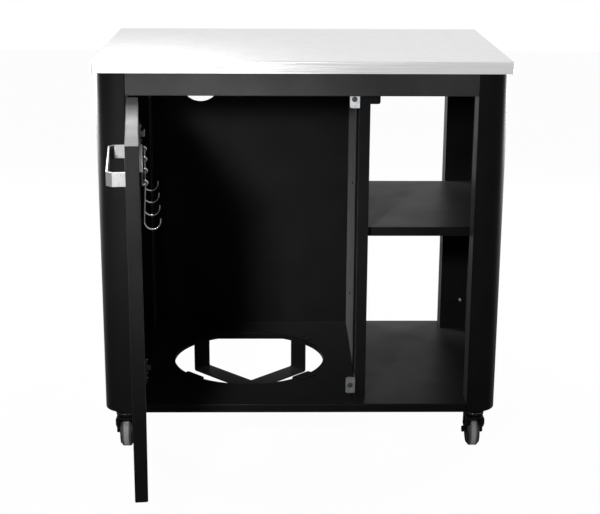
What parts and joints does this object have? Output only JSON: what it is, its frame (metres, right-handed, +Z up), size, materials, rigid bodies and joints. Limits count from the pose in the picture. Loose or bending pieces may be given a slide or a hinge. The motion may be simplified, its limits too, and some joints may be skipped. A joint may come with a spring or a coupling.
{
  "type": "grill cart",
  "caption": "Grill cart on swivel casters: steel worktop over a cupboard with rolled corners, a hinged door on a gas bottle bay with a floor cradle and hose hole, and open shelf bays beside it.",
  "frame": {"origin": "on the ground, below the middle of the outline in X and Y, the open door included", "axes": "+Z up; the front faces -Y; +X to the right seen from the front, the door's hinge side at -X"},
  "size_m": [0.9, 1.1082, 0.9],
  "materials": {
    "black_powder_coat": "satin",
    "black_powder_coat_rail": "satin",
    "brushed_stainless": "brushed",
    "galvanised_steel": "matte",
    "zinc_steel": "satin",
    "bright_steel": "polished",
    "magnet_black": "matte",
    "caster_black": "satin",
    "wheel_black": "matte",
    "grey_tread": "matte"
  },
  "bodies": {
    "cupboard": {"worktop": "brushed_stainless", "worktop_stiffeners": "galvanised_steel", "side_shell_left": "black_powder_coat", "side_shell_right": "black_powder_coat", "column_liner_front_left": "black_powder_coat", "column_liner_front_right": "black_powder_coat", "column_liner_rear_left": "black_powder_coat", "column_liner_rear_right": "black_powder_coat", "front_rail": "black_powder_coat_rail", "rear_rail": "black_powder_coat", "floor_tray": "black_powder_coat", "floor_channel_front": "black_powder_coat", "floor_channel_rear": "black_powder_coat", "back_panel": "black_powder_coat", "divider_panel": "black_powder_coat", "divider_cover": "black_powder_coat", "divider_post": "black_powder_coat", "post_brackets": "black_powder_coat", "middle_shelf": "black_powder_coat", "shelf_supports": "black_powder_coat", "catch_bracket_lower": "zinc_steel", "catch_bracket_upper": "zinc_steel", "catch_magnets": "magnet_black", "cradle_strap_lower": "black_powder_coat", "cradle_strap_upper": "black_powder_coat", "hinge_cabinet_leaf_lower": "zinc_steel", "hinge_cabinet_leaf_upper": "zinc_steel", "caster_head_front_left": "caster_black", "caster_head_front_right": "caster_black", "caster_head_rear_left": "caster_black", "caster_head_rear_right": "caster_black"},
    "door": {"door_skin": "black_powder_coat", "door_liner": "black_powder_coat", "door_handle": "brushed_stainless", "handle_backing": "black_powder_coat", "hook_rail": "bright_steel", "hinge_door_leaf_lower": "zinc_steel", "hinge_door_leaf_upper": "zinc_steel", "hinge_pin_lower": "zinc_steel", "hinge_pin_upper": "zinc_steel"},
    "hook_1": {"hook_1": "bright_steel"},
    "hook_2": {"hook_2": "bright_steel"},
    "hook_3": {"hook_3": "bright_steel"},
    "hook_4": {"hook_4": "bright_steel"},
    "fork_front_left": {"caster_fork_front_left": "caster_black"},
    "wheel_front_left": {"caster_hub_front_left": "wheel_black", "caster_tyre_front_left": "grey_tread"},
    "fork_front_right": {"caster_fork_front_right": "caster_black"},
    "wheel_front_right": {"caster_hub_front_right": "wheel_black", "caster_tyre_front_right": "grey_tread"},
    "fork_rear_left": {"caster_fork_rear_left": "caster_black"},
    "wheel_rear_left": {"caster_hub_rear_left": "wheel_black", "caster_tyre_rear_left": "grey_tread"},
    "fork_rear_right": {"caster_fork_rear_right": "caster_black"},
    "wheel_rear_right": {"caster_hub_rear_right": "wheel_black", "caster_tyre_rear_right": "grey_tread"}
  },
  "joints": [
    {"name": "door_hinge", "type": "hinge", "parent": "cupboard", "child": "door", "pos_m": [-0.3715, -0.03543, 0.4755], "axis": [0, 0, 1], "range_deg": [-16, 84.25]},
    {"name": "hook_1_swing", "type": "hinge", "parent": "door", "child": "hook_1", "pos_m": [-0.33043, -0.13884, 0.73], "axis": [0.1002, -0.995, 0], "range_deg": [-3, 90]},
    {"name": "hook_2_swing", "type": "hinge", "parent": "door", "child": "hook_2", "pos_m": [-0.31991, -0.24331, 0.73], "axis": [0.1002, -0.995, 0], "range_deg": [-3, 90]},
    {"name": "hook_3_swing", "type": "hinge", "parent": "door", "child": "hook_3", "pos_m": [-0.30939, -0.34778, 0.73], "axis": [0.1002, -0.995, 0], "range_deg": [-3, 90]},
    {"name": "hook_4_swing", "type": "hinge", "parent": "door", "child": "hook_4", "pos_m": [-0.29887, -0.45225, 0.73], "axis": [0.1002, -0.995, 0], "range_deg": [-3, 90]},
    {"name": "caster_swivel_front_left", "type": "hinge", "parent": "cupboard", "child": "fork_front_left", "pos_m": [-0.4, -0.01193, 0.0814], "axis": [0, 0, 1], "continuous": true},
    {"name": "caster_roll_front_left", "type": "hinge", "parent": "fork_front_left", "child": "wheel_front_left", "pos_m": [-0.4, 0.01007, 0.0375], "axis": [1, 0, 0], "continuous": true},
    {"name": "caster_swivel_front_right", "type": "hinge", "parent": "cupboard", "child": "fork_front_right", "pos_m": [0.4, -0.01193, 0.0814], "axis": [0, 0, 1], "continuous": true},
    {"name": "caster_roll_front_right", "type": "hinge", "parent": "fork_front_right", "child": "wheel_front_right", "pos_m": [0.4, 0.01007, 0.0375], "axis": [1, 0, 0], "continuous": true},
    {"name": "caster_swivel_rear_left", "type": "hinge", "parent": "cupboard", "child": "fork_rear_left", "pos_m": [-0.4, 0.52007, 0.0814], "axis": [0, 0, 1], "continuous": true},
    {"name": "caster_roll_rear_left", "type": "hinge", "parent": "fork_rear_left", "child": "wheel_rear_left", "pos_m": [-0.4, 0.49807, 0.0375], "axis": [1, 0, 0], "continuous": true},
    {"name": "caster_swivel_rear_right", "type": "hinge", "parent": "cupboard", "child": "fork_rear_right", "pos_m": [0.4, 0.52007, 0.0814], "axis": [0, 0, 1], "continuous": true},
    {"name": "caster_roll_rear_right", "type": "hinge", "parent": "fork_rear_right", "child": "wheel_rear_right", "pos_m": [0.4, 0.49807, 0.0375], "axis": [1, 0, 0], "continuous": true}
  ]
}
